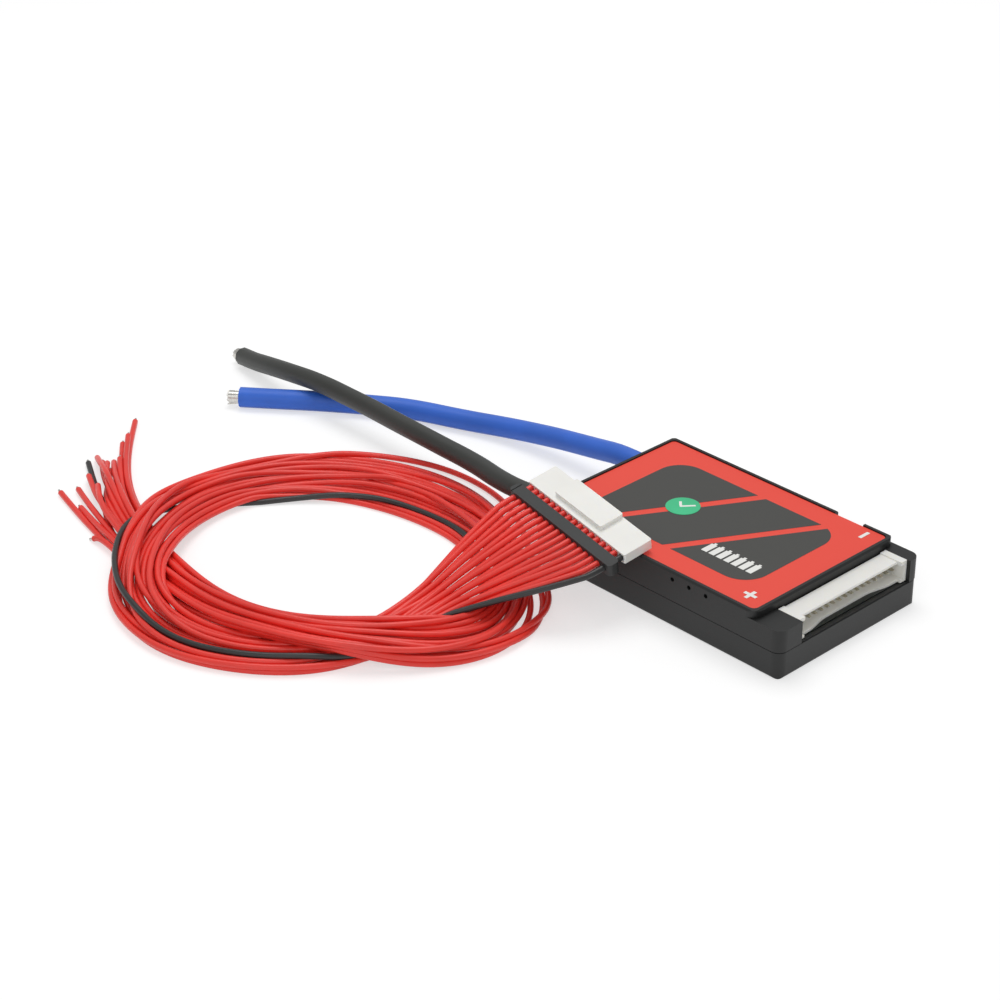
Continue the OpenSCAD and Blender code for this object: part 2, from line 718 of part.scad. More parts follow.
module blue_lead() color("#1F5FC8") tube(blue_line, blue_d, 12);
module blue_conductor() color("#C9CBCD") conductor(blue_line);
module black_lead() color("#30322F") tube(black_line, black_d, 12);
module black_conductor() color("#C9CBCD") conductor(black_line);

// ---- Harness wires -----------------------------------------------------------

// Place of wire i where the wires lie two high in the strand, at its start or end
wire_low = 0.6; // height of the lower wires, in wire diameters
function in_strand(p, d, i) =
  let (a = unit([d[1], -d[0], 0]), w = (p[3] - 1) * wire_d / (ways - 1))
  [p[0], p[1], (p[2] + wire_low + 1.06 * (i % 2)) * wire_d] + (i - (ways - 1) / 2) * w * a;
loop_line = [
  for (i = [0:len(loop_route) - 2], k = [0:loop_steps - 1]) through(loop_route, i, k / loop_steps),
  loop_route[len(loop_route) - 1]
];

// Route of wire i: out of the plug, through the comb and down to the strand's start
fan_rings = 7;
function fan_route(i) =
  let (u = way_u(i), start = plug_point([u, comb_near - 0.6, wire_w]),
    end = in_strand(loop_route[0], [0, -1], ways - 1 - i) + [0, slip, 0],
    out = plug_point([u, comb_near - 8, wire_w]), curve = [start, out, end + [-1, 12, 6], end])
  concat(
    [plug_point([u, terminal_start - slip, wire_w]), plug_point([u, -1.8, wire_w])],
    [for (k = [0:fan_rings - 1]) on_curve(curve, k / (fan_rings - 1))]
  );

// Route of free end i: out of the strand's end and along the floor
tail_rings = 6;
function tail_route(i) =
  let (n = len(loop_route), p = loop_route[n - 1],
    d = unit([for (k = [0, 1]) p[k] - loop_route[n - 2][k]]),
    start = in_strand(p, d, i) + slip * [d[0], d[1], 0],
    turn = 174 - 2.1 * i, go = tail_reach[i] * [cos(turn), sin(turn), 0],
    end = [start[0], start[1], wire_low * wire_d] + go,
    curve = [start, start + tail_reach[i] / 5 * [d[0], d[1], 0], start + 0.8 * go, end])
  [for (k = [0:tail_rings - 1]) on_curve(curve, k / (tail_rings - 1))];

module fan_red_wires() color("#E0302C") {
  for (i = [0:ways - 2]) tube(fan_route(i), wire_d);
}
module fan_black_wire() color("#2B2B2B") tube(fan_route(ways - 1), wire_d);

module wire_coil() color("#D62C2A") strand(loop_line);

black_tail = 7; // place of the black wire among the free ends
module tail_red_wires() color("#E0302C") {
  for (i = [0:ways - 1]) if (i != black_tail) tube(tail_route(i), wire_d);
}
module tail_black_wire() color("#2B2B2B") tube(tail_route(black_tail), wire_d);

module wire_tips() color("#C9CBCD") {
  for (i = [0:ways - 1])
    rod(tail_route(i)[tail_rings - 1], heading(tail_route(i), tail_rings - 1), wire_d / 2, 3);
}

lower_shell();
upper_shell();
heat_plate();
plate_screws();
thermal_pads();
face_label();
check_badge();
circuit_board();
charge_transistors();
discharge_transistors();
shunt_resistors();
monitor_chip();
balance_resistors();
filter_capacitors();
lead_solder();
header_housing();
header_pins();
plug_housing();
plug_terminals();
wire_comb();
blue_lead();
blue_conductor();
black_lead();
black_conductor();
fan_red_wires();
fan_black_wire();
wire_coil();
tail_red_wires();
tail_black_wire();
wire_tips();
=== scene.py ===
"""Battery management board: case, label, balance socket, power leads and balance harness."""

import math
import random

import bmesh
import bpy
import numpy as np
from mathutils import Euler, Matrix, Vector


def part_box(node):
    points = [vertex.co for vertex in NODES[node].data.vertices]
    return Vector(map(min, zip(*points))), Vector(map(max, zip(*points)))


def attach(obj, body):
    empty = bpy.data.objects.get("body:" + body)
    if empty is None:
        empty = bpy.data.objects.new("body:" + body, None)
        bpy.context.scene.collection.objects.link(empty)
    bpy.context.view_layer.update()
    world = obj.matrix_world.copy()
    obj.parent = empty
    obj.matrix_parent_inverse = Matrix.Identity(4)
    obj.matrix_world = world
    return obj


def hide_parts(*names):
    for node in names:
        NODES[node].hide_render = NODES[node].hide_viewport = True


bl_info = {
    "name": "Battery management board",
    "version": (1, 0, 0),
    "blender": (4, 5, 0),
    "location": "3D View > Sidebar > Board",
    "description": "Dresses the packed model of a battery management board and its wiring",
    "category": "Object",
}

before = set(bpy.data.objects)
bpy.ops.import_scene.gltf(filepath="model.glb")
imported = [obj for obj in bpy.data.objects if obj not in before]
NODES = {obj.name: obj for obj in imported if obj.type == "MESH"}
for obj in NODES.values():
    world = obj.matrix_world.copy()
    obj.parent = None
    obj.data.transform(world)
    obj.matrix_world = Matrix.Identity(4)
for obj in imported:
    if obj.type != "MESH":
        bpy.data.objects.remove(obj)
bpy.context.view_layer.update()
MM = 0.001


# ---- Colour and material helpers ---------------------------------------------


def linear(code):
    """An sRGB hex colour as linear red, green, blue and alpha."""
    parts = [int(code[i : i + 2], 16) / 255 for i in (1, 3, 5)]
    return [c / 12.92 if c <= 0.04045 else ((c + 0.055) / 1.055) ** 2.4 for c in parts] + [1.0]


def add(tree, kind, links=None, **settings):
    """Adds a node; settings name its properties or inputs, links feed its inputs."""
    node = tree.nodes.new(kind)
    for name, value in settings.items():
        if name.startswith("in_"):
            key = name[3:]
            node.inputs[int(key) if key.isdigit() else key.replace("_", " ")].default_value = value
        else:
            setattr(node, name, value)
    for key, source in (links or {}).items():
        tree.links.new(source, node.inputs[key])
    return node


def node_of(tree, kind):
    """The first node of a kind in a tree."""
    return next(node for node in tree.nodes if node.bl_idname == kind)


def new_material(name):
    """An empty node material with a Principled shader, its tree and its object coordinates."""
    material = bpy.data.materials.new(name)
    material.use_nodes = True
    tree = material.node_tree
    tree.nodes.clear()
    shader = add(tree, "ShaderNodeBsdfPrincipled")
    out = add(tree, "ShaderNodeOutputMaterial", {"Surface": shader.outputs["BSDF"]})
    out.location = (600, 0)
    coordinates = add(tree, "ShaderNodeTexCoord").outputs["Object"]
    return material, tree, shader, coordinates


def ramp(tree, source, stops):
    """Colour ramp from (position, linear colour) stops."""
    node = add(tree, "ShaderNodeValToRGB", {"Fac": source})
    elements = node.color_ramp.elements
    while len(elements) < len(stops):
        elements.new(0.5)
    for element, (position, colour) in zip(elements, stops):
        element.position = position
        element.color = colour
    return node.outputs["Color"]


def shade(colour, factor):
    """The same linear colour, darker or lighter."""
    return [min(1.0, c * factor) for c in colour[:3]] + [1.0]


def roughen(tree, shader, grain, roughness, swing, strength, depth_mm):
    """Lets a grain texture vary the gloss and raise a fine relief."""
    rough = add(
        tree, "ShaderNodeMapRange", {"Value": grain},
        in_To_Min=roughness - swing, in_To_Max=roughness + swing,
    )
    bump = add(
        tree, "ShaderNodeBump", {"Height": grain}, in_Strength=strength, in_Distance=depth_mm * MM
    )
    tree.links.new(rough.outputs["Result"], shader.inputs["Roughness"])
    tree.links.new(bump.outputs["Normal"], shader.inputs["Normal"])


def moulded(name, code, roughness, grain_mm, depth_mm, spread=0.08, ior=1.5, sheen=0.0):
    """Moulded or extruded plastic: a fine grain in the surface and a slight drift of colour."""
    material, tree, shader, xyz = new_material(name)
    colour = linear(code)
    drift = add(tree, "ShaderNodeTexNoise", {"Vector": xyz}, in_Scale=1 / (14 * MM), in_Detail=3.0)
    stops = [(0.35, shade(colour, 1 - spread)), (0.65, shade(colour, 1 + spread))]
    tree.links.new(ramp(tree, drift.outputs["Fac"], stops), shader.inputs["Base Color"])
    grain = add(tree, "ShaderNodeTexNoise", {"Vector": xyz}, in_Scale=1 / (grain_mm * MM), in_Detail=2.0)
    roughen(tree, shader, grain.outputs["Fac"], roughness, 0.06, 0.6, depth_mm)
    shader.inputs["IOR"].default_value = ior
    if sheen:
        shader.inputs["Sheen Weight"].default_value = sheen
        shader.inputs["Sheen Roughness"].default_value = 0.4
    return material


def metal(name, code, roughness, stretch=(1, 1, 1), grain_mm=0.6, depth_mm=0.01):
    """Bare metal; its grain becomes lines along an axis whose stretch is small."""
    material, tree, shader, xyz = new_material(name)
    colour = linear(code)
    lines = add(tree, "ShaderNodeMapping", {"Vector": xyz}, in_Scale=stretch)
    grain = add(
        tree, "ShaderNodeTexNoise", {"Vector": lines.outputs["Vector"]},
        in_Scale=1 / (grain_mm * MM), in_Detail=3.0,
    )
    stops = [(0.3, shade(colour, 0.82)), (0.7, shade(colour, 1.08))]
    tree.links.new(ramp(tree, grain.outputs["Fac"], stops), shader.inputs["Base Color"])
    roughen(tree, shader, grain.outputs["Fac"], roughness, 0.08, 0.5, depth_mm)
    shader.inputs["Metallic"].default_value = 1.0
    return material


# ---- Mesh helpers --------------------------------------------------------------


def link(obj):
    """Puts an object in the scene."""
    bpy.context.scene.collection.objects.link(obj)
    return obj


def mesh_piece(name, vertices, faces, material, slot, smooth=False):
    """A mesh in the frame, in metres, riding on the part's one body."""
    mesh = bpy.data.meshes.new(name)
    mesh.from_pydata([tuple(v) for v in vertices], [], faces)
    mesh.materials.append(material)
    for polygon in mesh.polygons:
        polygon.use_smooth = smooth
    obj = link(bpy.data.objects.new(name, mesh))
    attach(obj, "root")
    return obj


def dress(node, material):
    """Gives a CAD node its finish."""
    obj = NODES[node]
    if not obj.material_slots:
        obj.data.materials.append(material)
    for place in obj.material_slots:
        place.material = material


def curve_piece(name, points, diameter, material):
    """A round cord on one open line."""
    curve = bpy.data.curves.new(name, "CURVE")
    curve.dimensions = "3D"
    curve.bevel_depth = diameter / 2
    curve.bevel_resolution = 3
    curve.use_fill_caps = True
    spline = curve.splines.new("POLY")
    spline.points.add(len(points) - 1)
    for place, point in zip(spline.points, points):
        place.co = (*point, 1)
    curve.materials.append(material)
    obj = link(bpy.data.objects.new(name, curve))
    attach(obj, "root")
    return obj


def spline_through(points, step):
    """Evenly spaced points on a smooth line through the given ones."""
    p = np.array(points, float)
    p = np.vstack([2 * p[0] - p[1], p, 2 * p[-1] - p[-2]])
    knots = np.r_[0, np.cumsum(np.sqrt(np.linalg.norm(np.diff(p, axis=0), axis=1)))]
    dense = []
    for j in range(1, len(p) - 2):
        t0, t1, t2, t3 = knots[j - 1 : j + 3]
        count = max(3, int(np.linalg.norm(p[j + 1] - p[j]) / step * 4))
        t = np.linspace(t1, t2, count, endpoint=False)[:, None]
        a1 = (t1 - t) / (t1 - t0) * p[j - 1] + (t - t0) / (t1 - t0) * p[j]
        a2 = (t2 - t) / (t2 - t1) * p[j] + (t - t1) / (t2 - t1) * p[j + 1]
        a3 = (t3 - t) / (t3 - t2) * p[j + 1] + (t - t2) / (t3 - t2) * p[j + 2]
        b1 = (t2 - t) / (t2 - t0) * a1 + (t - t0) / (t2 - t0) * a2
        b2 = (t3 - t) / (t3 - t1) * a2 + (t - t1) / (t3 - t1) * a3
        dense.append((t2 - t) / (t2 - t1) * b1 + (t - t1) / (t2 - t1) * b2)
    dense = np.vstack(dense + [p[-2][None]])
    return even(dense, step)


def even(line, step):
    """The same line with points a step apart."""
    along = np.r_[0, np.cumsum(np.linalg.norm(np.diff(line[:, :3], axis=0), axis=1))]
    places = np.linspace(0, along[-1], int(round(along[-1] / step)) + 1)
    return np.stack([np.interp(places, along, column) for column in line.T], axis=1)


# ---- Geometry Nodes helpers ------------------------------------------------------


def geometry_group(name, **sockets):
    """A node group with a geometry input and named inputs; the outputs of its input node."""
    tree = bpy.data.node_groups.new(name, "GeometryNodeTree")
    tree.interface.new_socket("Geometry", in_out="OUTPUT", socket_type="NodeSocketGeometry")
    tree.interface.new_socket("Geometry", in_out="INPUT", socket_type="NodeSocketGeometry")
    for label, kind in sockets.items():
        tree.interface.new_socket(label, in_out="INPUT", socket_type=f"NodeSocket{kind}")
    return tree, add(tree, "NodeGroupInput").outputs


def close_group(tree, geometry, material):
    """Makes the copies real, gives them their material and ends the group."""
    real = add(tree, "GeometryNodeRealizeInstances", {"Geometry": geometry})
    painted = add(
        tree, "GeometryNodeSetMaterial", {"Geometry": real.outputs["Geometry"], "Material": material}
    )
    add(tree, "NodeGroupOutput", {"Geometry": painted.outputs["Geometry"]})


def grown(name, mesh, tree, values):
    """The plain mesh that a node group makes of another one, as a piece of the part."""
    obj = link(bpy.data.objects.new(name, mesh))
    modifier = obj.modifiers.new("grow", "NODES")
    modifier.node_group = tree
    for item in tree.interface.items_tree:
        if item.in_out == "INPUT" and item.name in values:
            modifier[item.identifier] = values[item.name]
    graph = bpy.context.evaluated_depsgraph_get()
    made = bpy.data.meshes.new_from_object(obj.evaluated_get(graph))
    made.name = name
    obj.modifiers.clear()
    obj.data = made
    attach(obj, "root")
    return obj


# ---- Sizes and colours that a user may change -----------------------------------


class StageSettings(bpy.types.PropertyGroup):
    floor_colour: bpy.props.FloatVectorProperty(
        name="Floor colour", description="Colour of the floor", subtype="COLOR",
        default=linear("#F4F4F4")[:3], min=0, max=1,
    )
    floor_radius: bpy.props.FloatProperty(
        name="Floor radius", description="Radius of the round floor", unit="LENGTH", default=3.0,
    )
    key_power: bpy.props.FloatProperty(
        name="Key light", description="Power of the large overhead light", default=4.0, min=0,
    )
    sky_strength: bpy.props.FloatProperty(
        name="Sky", description="Strength of the plain surrounding light", default=0.5, min=0,
    )


class HarnessSettings(bpy.types.PropertyGroup):
    pitch: bpy.props.FloatProperty(
        name="Pitch", description="Distance between the wires in the plug", unit="LENGTH", default=2.5 * MM,
    )
    wire_diameter: bpy.props.FloatProperty(
        name="Wire diameter", description="Over the insulation", unit="LENGTH", default=1.8 * MM,
    )
    stacking_steps: bpy.props.IntProperty(
        name="Stacking steps", description="How long crossing wires sink onto each other",
        default=400, min=0,
    )
    settle_steps: bpy.props.IntProperty(
        name="Settling steps", description="How long touching wires push each other apart",
        default=60, min=0,
    )
    red: bpy.props.FloatVectorProperty(
        name="Red wire", description="Colour of the cell wires", subtype="COLOR",
        default=linear("#F03A30")[:3], min=0, max=1,
    )


# ---- Stage ---------------------------------------------------------------------


CAMERA_AT = Vector((0.39018, -0.44992, 0.35318))
CAMERA_TURN = (46.9527, 28.938, -0.4889)  # azimuth, elevation and roll, in degrees
CAMERA_LENS = 87.762
FRONT_SHARE = 0.25  # power of the front lamp, as a share of the overhead one
PAPER_SHARE = 0.45  # how much of what the camera sees of the paper is its own glow
PAPER_GLOW = 1.32


class BOARD_OT_stage(bpy.types.Operator):
    """Adds the camera, the floor and the lights"""

    bl_idname = "board.stage"
    bl_label = "Stage"

    def execute(self, context):
        settings = context.scene.board_stage
        azimuth, elevation, roll = (math.radians(v) for v in CAMERA_TURN)
        back = Vector((
            math.sin(azimuth) * math.cos(elevation),
            -math.cos(azimuth) * math.cos(elevation),
            math.sin(elevation),
        ))
        right = (-back).cross(Vector((0, 0, 1))).normalized()
        up = right.cross(-back)
        side = math.cos(roll) * right + math.sin(roll) * up
        top = -math.sin(roll) * right + math.cos(roll) * up
        data = bpy.data.cameras.new("camera")
        data.lens = CAMERA_LENS
        data.sensor_width = 36
        data.clip_start = 0.01
        camera = link(bpy.data.objects.new("camera", data))
        turn = Matrix((side, top, back)).transposed().to_4x4()
        camera.matrix_world = Matrix.Translation(CAMERA_AT) @ turn
        context.scene.camera = camera

        # Seamless paper: white to the camera, with the object's soft shadow on it
        material, tree, shader, _ = new_material("seamless_paper")
        shader.inputs["Base Color"].default_value = [*settings.floor_colour, 1]
        shader.inputs["Roughness"].default_value = 0.9
        shader.inputs["Specular IOR Level"].default_value = 0.1
        path = add(tree, "ShaderNodeLightPath")
        glossy = add(
            tree, "ShaderNodeMath", {0: path.outputs["Is Camera Ray"], 1: path.outputs["Is Glossy Ray"]},
            operation="MAXIMUM",
        )
        seen = add(
            tree, "ShaderNodeMath", {0: glossy.outputs[0], 1: path.outputs["Is Transmission Ray"]},
            operation="MAXIMUM",
        )
        share = add(tree, "ShaderNodeMath", {0: seen.outputs[0]}, operation="MULTIPLY", in_1=PAPER_SHARE)
        glow = add(tree, "ShaderNodeEmission", in_Color=(1, 1, 1, 1), in_Strength=PAPER_GLOW)
        mixed = add(
            tree, "ShaderNodeMixShader",
            {0: share.outputs[0], 1: shader.outputs["BSDF"], 2: glow.outputs["Emission"]},
        )
        output = node_of(tree, "ShaderNodeOutputMaterial")
        tree.links.new(mixed.outputs["Shader"], output.inputs["Surface"])
        bm = bmesh.new()
        bmesh.ops.create_circle(bm, cap_ends=True, segments=96, radius=settings.floor_radius)
        mesh = bpy.data.meshes.new("floor")
        bm.to_mesh(mesh)
        bm.free()
        mesh.materials.append(material)
        floor = link(bpy.data.objects.new("floor", mesh))

        world = bpy.data.worlds.new("surroundings")
        world.use_nodes = True
        context.scene.world = world
        tree = world.node_tree
        tree.nodes.clear()
        path = add(tree, "ShaderNodeLightPath")
        plain = add(tree, "ShaderNodeBackground", in_Color=(1, 1, 1, 1), in_Strength=settings.sky_strength)
        white = add(tree, "ShaderNodeBackground", in_Color=(1, 1, 1, 1), in_Strength=1.0)
        seen, plain, white = path.outputs["Is Camera Ray"], plain.outputs[0], white.outputs[0]
        mixed = add(tree, "ShaderNodeMixShader", {0: seen, 1: plain, 2: white})
        add(tree, "ShaderNodeOutputWorld", {"Surface": mixed.outputs["Shader"]})

        for name, place, aim, size, power in (
            ("overhead", (-0.25, 0.15, 0.95), (-0.06, -0.04, 0), 0.7, settings.key_power),
            ("front_fill", (0.35, -0.75, 0.5), (-0.04, -0.05, 0), 0.6, settings.key_power * FRONT_SHARE),
        ):
            data = bpy.data.lights.new(name, "AREA")
            data.shape = "DISK"
            data.size = size
            data.energy = power
            lamp = link(bpy.data.objects.new(name, data))
            lamp.location = place
            lamp.rotation_euler = (Vector(aim) - Vector(place)).to_track_quat("-Z", "Y").to_euler()
        context.scene.view_settings.view_transform = "Standard"
        return {"FINISHED"}


# ---- Case and face ---------------------------------------------------------------


class BOARD_OT_case(bpy.types.Operator):
    """Finishes the two shells, the heat plate, its screws and its pads"""

    bl_idname = "board.case"
    bl_label = "Case"

    def execute(self, context):
        # Black ABS from a fine spark-eroded mould: satin, with a grain that scatters highlights
        abs_black = moulded("moulded_black_abs", "#161717", 0.5, 0.3, 0.012)
        for node in ("lower_shell", "upper_shell"):
            dress(node, abs_black)
        # Extruded aluminium plate with faint lines along its length
        dress("heat_plate", metal("extruded_aluminium", "#C4C6C8", 0.38, stretch=(0.04, 1, 1)))
        # Zinc-plated steel screws
        dress("plate_screws", metal("zinc_plated_steel", "#BDBFC1", 0.32))
        # Soft filled silicone, blue-grey and matt
        dress("thermal_pads", moulded("filled_silicone_pad", "#8FA3B8", 0.75, 0.5, 0.02, sheen=0.2))
        return {"FINISHED"}


# Printed signs, in millimetres
INK = 0.02  # thickness of the print
SIGN_INSET = 5.8  # from the label's end to the plus sign
PLUS_Y, MINUS_Y = -22.6, 24
STROKE = 1.1
PLUS_LENGTH, MINUS_LENGTH = 4.2, 4.0
PLUS_ARM, PLUS_ARM_AT = 1.54, 1.34  # length of the two side arms, and how far out they are centred
TICK_STROKE = 0.8
CELLS = 7
CELL_PITCH = 2.7
CELL_WIDTH, CELL_LENGTH = 2.0, 4.6
NUB_WIDTH, NUB_LENGTH = 0.9, 0.8
CELLS_FROM_BADGE = (21, -12)
NUB_ABOVE_CELL = 2.7


def bar(x, y, z, length, width, angle=0.0):
    """The four corners of a flat bar, in millimetres."""
    turn = Matrix.Rotation(math.radians(angle), 2)
    sides = ((-1, -1), (1, -1), (1, 1), (-1, 1))
    corners = [turn @ Vector((a * length / 2, b * width / 2)) for a, b in sides]
    return [(x + c.x, y + c.y, z) for c in corners]


def printed(bars):
    """Points and faces of thin plates that stand on the given bars."""
    points = [(p[0] * MM, p[1] * MM, (p[2] + h) * MM) for b in bars for h in (0, INK) for p in b]
    faces = []
    for first in range(0, len(points), 8):
        top = first + 4
        faces += [(first + 3, first + 2, first + 1, first), tuple(range(top, top + 4))]
        for k in range(4):
            after = (k + 1) % 4
            faces.append((first + k, first + after, top + after, top + k))
    return points, faces


class BOARD_OT_face(bpy.types.Operator):
    """Prints the label and colours the round check badge"""

    bl_idname = "board.face"
    bl_label = "Face"

    def print_signs(self):
        """White signs on the label and a tick on the badge, a hair above them."""
        ink = moulded("white_label_ink", "#F2F2EE", 0.5, 0.4, 0.003, spread=0.02)
        end, _, top = (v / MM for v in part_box("face_label")[1])
        x = end - SIGN_INSET
        signs = [
            bar(x, PLUS_Y, top, PLUS_LENGTH, STROKE),
            bar(x + 0.6, MINUS_Y, top, STROKE, MINUS_LENGTH),
            bar(x, PLUS_Y - PLUS_ARM_AT, top, STROKE, PLUS_ARM),
            bar(x, PLUS_Y + PLUS_ARM_AT, top, STROKE, PLUS_ARM),
        ]
        mesh_piece("label_signs", *printed(signs), ink, "label_film")
        low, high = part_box("check_badge")
        x, y = (low[0] + high[0]) / 2 / MM, (low[1] + high[1]) / 2 / MM
        face = high[2] / MM
        tick = [
            bar(x - 1.5, y + 0.6, face, 2.4, TICK_STROKE, -45),
            bar(x + 0.9, y + 1.0, face, 4.6, TICK_STROKE, 50),
        ]
        mesh_piece("badge_tick", *printed(tick), ink, "badge_film")

        # A row of upright cells stands for the pack that the board looks after
        x, y = x + CELLS_FROM_BADGE[0], y + CELLS_FROM_BADGE[1]
        cell = bpy.data.meshes.new("printed_cells")
        points, faces = printed([
            bar(x, y, top, CELL_WIDTH, CELL_LENGTH),
            bar(x, y + NUB_ABOVE_CELL, top, NUB_WIDTH, NUB_LENGTH),
        ])
        cell.from_pydata(points, [], faces)
        tree, inputs = geometry_group("row_of_copies", Count="Int", Offset="Vector", Material="Material")
        line = add(
            tree, "GeometryNodeMeshLine",
            {"Count": inputs["Count"], "Offset": inputs["Offset"]}, mode="OFFSET",
        )
        copies = add(
            tree, "GeometryNodeInstanceOnPoints",
            {"Points": line.outputs["Mesh"], "Instance": inputs["Geometry"]},
        )
        close_group(tree, copies.outputs["Instances"], inputs["Material"])
        values = {"Count": CELLS, "Offset": (CELL_PITCH * MM, 0.0, 0.0), "Material": ink}
        grown("printed_cells", cell, tree, values)

    def execute(self, context):
        # Printed polyester film under a satin laminate: even colour, soft wide highlight
        material, tree, shader, xyz = new_material("printed_polyester_film")
        low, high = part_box("face_label")
        red, dark = linear("#F34735"), linear("#3F3F3C")
        height = add(tree, "ShaderNodeSeparateXYZ", {"Vector": xyz})
        # The dark field stands a hair above the red sheet
        field = add(
            tree, "ShaderNodeMapRange", {"Value": height.outputs["Z"]},
            in_From_Min=high[2] - 0.03 * MM, in_From_Max=high[2] - 0.02 * MM,
        )
        tree.links.new(
            ramp(tree, field.outputs["Result"], [(0.0, red), (1.0, dark)]), shader.inputs["Base Color"]
        )
        fibre = add(tree, "ShaderNodeTexNoise", {"Vector": xyz}, in_Scale=1 / (0.5 * MM), in_Detail=2.0)
        bump = add(
            tree, "ShaderNodeBump", {"Height": fibre.outputs["Fac"]},
            in_Strength=0.3, in_Distance=0.004 * MM,
        )
        tree.links.new(bump.outputs["Normal"], shader.inputs["Normal"])
        shader.inputs["Roughness"].default_value = 0.42
        dress("face_label", material)
        dress("check_badge", moulded("printed_paper_disc", "#3CC389", 0.5, 0.4, 0.004))
        self.print_signs()
        return {"FINISHED"}


class BOARD_OT_inside(bpy.types.Operator):
    """Finishes the circuit board and everything on it"""

    bl_idname = "board.inside"
    bl_label = "Circuit board"

    def execute(self, context):
        # Black solder mask over glass laminate, slightly glossy
        dress("circuit_board", moulded("black_solder_mask", "#1E2422", 0.35, 0.6, 0.01))
        # Moulded epoxy bodies: near black and matt
        epoxy = moulded("moulded_epoxy", "#242527", 0.62, 0.2, 0.008)
        for node in ("charge_transistors", "discharge_transistors", "shunt_resistors", "monitor_chip",
                     "balance_resistors"):
            dress(node, epoxy)
        dress("filter_capacitors", metal("drawn_aluminium_can", "#C9CBCD", 0.3))
        dress("lead_solder", metal("tin_solder", "#C4C6C8", 0.28, grain_mm=1.5))
        return {"FINISHED"}


# ---- Socket, plug and comb ---------------------------------------------------------


class BOARD_OT_connectors(bpy.types.Operator):
    """Finishes the socket, its pins, the plug and the comb"""

    bl_idname = "board.connectors"
    bl_label = "Connectors"

    def execute(self, context):
        # Unfilled nylon: warm white, faintly translucent, soft gloss
        nylon = moulded("natural_nylon", "#F2F1EC", 0.42, 0.5, 0.006, spread=0.02, ior=1.53)
        shader = node_of(nylon.node_tree, "ShaderNodeBsdfPrincipled")
        shader.inputs["Subsurface Weight"].default_value = 0.25
        shader.inputs["Subsurface Radius"].default_value = (1.0, 0.9, 0.7)
        shader.inputs["Subsurface Scale"].default_value = 0.6 * MM
        for node in ("header_housing", "plug_housing"):
            dress(node, nylon)
        # Tin over brass: bright and slightly warm
        tinned = metal("tinned_brass", "#CFC9B8", 0.28, grain_mm=0.4)
        for node in ("header_pins", "plug_terminals"):
            dress(node, tinned)
        # Moulded black comb, matt
        dress("wire_comb", moulded("moulded_black_comb", "#2A2B2B", 0.55, 0.3, 0.01))
        return {"FINISHED"}


# ---- Power leads ---------------------------------------------------------------------


# Points of each lead's route in millimetres: out from the wall, sideways, height
BLUE_ROUTE = [
    (-4, 0, 11), (-12, 0.2, 10.5), (-20, 0.2, 9.2), (-28, 0, 8), (-36, -0.4, 6.9), (-44, -1.2, 5.8),
    (-52, -2.4, 4.8), (-60, -4.3, 4), (-68, -7, 3.5), (-76, -10.2, 3.4), (-84, -13.4, 3.4),
    (-92, -17.4, 3.4), (-100, -22.8, 3.4), (-108, -28.6, 3.4), (-116, -34.8, 3.4), (-124, -41.4, 3.4),
    (-130, -46.3, 3.4), (-133.6, -49.2, 3.4),
]
BLACK_ROUTE = [
    (-4, 0, 11), (-12, -0.3, 10.8), (-20, -0.4, 10.4), (-28, 0.5, 10), (-36, 1.8, 9.8), (-44, 2.5, 9.7),
    (-52, 2.7, 9.7), (-60, 2.8, 9.8), (-68, 2.9, 9.9), (-76, 3, 10), (-84, 3.2, 10.1), (-92, 3.3, 10.2),
    (-100, 3.3, 10.2), (-108, 3.3, 10.2), (-116, 3, 10), (-124, 2.9, 9.2), (-132, 3.3, 8),
    (-140, 3.9, 6.6), (-148, 4.9, 4.9), (-157, 6.4, 3.3),
]
CASE_END = -46.45  # outer face of the end wall, in millimetres
LEAD_START = -43.05  # where a lead begins inside that wall
LEAD_Z = 11.0
STRAND_RADIUS = 0.2 * MM
STRAND_LENGTH = 5 * MM
STRAND_CENTRE = 1.6 * MM  # the middle of a strand, beyond the end of the insulation
BUNDLE = {"Radius": 2.0 * MM, "Gap": 0.44 * MM, "Spread": 0.1, "Seed": 4}


